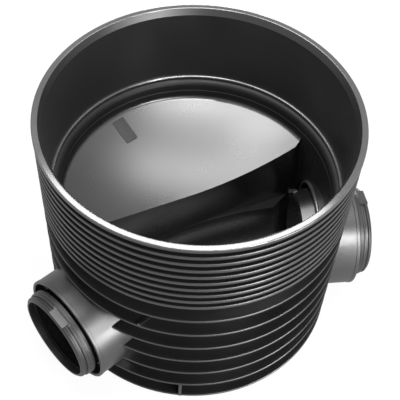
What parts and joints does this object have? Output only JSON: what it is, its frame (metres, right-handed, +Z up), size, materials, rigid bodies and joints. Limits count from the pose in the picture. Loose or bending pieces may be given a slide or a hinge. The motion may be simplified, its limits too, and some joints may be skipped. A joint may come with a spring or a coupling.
{
  "type": "drain inspection chamber base",
  "caption": "Round ribbed drain inspection chamber base with a riser socket, dished benching, a curved flow channel and swivel pipe sockets.",
  "frame": {"origin": "on the vertical axis of the ribbed shell, at its bottom face", "axes": "+Z up along the shell axis, +X along the outlet pipe axis away from the shell, the inlet at 216 degrees counted from +X towards +Y"},
  "size_m": [0.8539, 0.72, 0.622],
  "materials": {
    "chamber_base": "satin moulded polypropylene",
    "outlet_socket": "smooth moulded polypropylene",
    "outlet_joint_seal": "dull moulded rubber",
    "outlet_lip_seal": "dull moulded rubber",
    "outlet_cap_ring": "smooth moulded polypropylene",
    "inlet_socket": "smooth moulded polypropylene",
    "inlet_joint_seal": "dull moulded rubber",
    "inlet_lip_seal": "dull moulded rubber",
    "inlet_cap_ring": "smooth moulded polypropylene"
  },
  "bodies": {
    "chamber": {"chamber_base": "chamber_base", "outlet_joint_seal": "outlet_joint_seal", "inlet_joint_seal": "inlet_joint_seal"},
    "outlet_swivel": {"outlet_socket": "outlet_socket", "outlet_lip_seal": "outlet_lip_seal", "outlet_cap_ring": "outlet_cap_ring"},
    "inlet_swivel": {"inlet_socket": "inlet_socket", "inlet_lip_seal": "inlet_lip_seal", "inlet_cap_ring": "inlet_cap_ring"}
  },
  "joints": [
    {"name": "outlet_turn", "type": "hinge", "parent": "chamber", "child": "outlet_swivel", "pos_m": [0.341, 0, 0.154], "axis": [0, 0, 1], "range_deg": [-7.5, 7.5]},
    {"name": "inlet_turn", "type": "hinge", "parent": "chamber", "child": "inlet_swivel", "pos_m": [-0.27587, -0.20044, 0.154], "axis": [0, 0, 1], "range_deg": [-7.5, 7.5]}
  ]
}
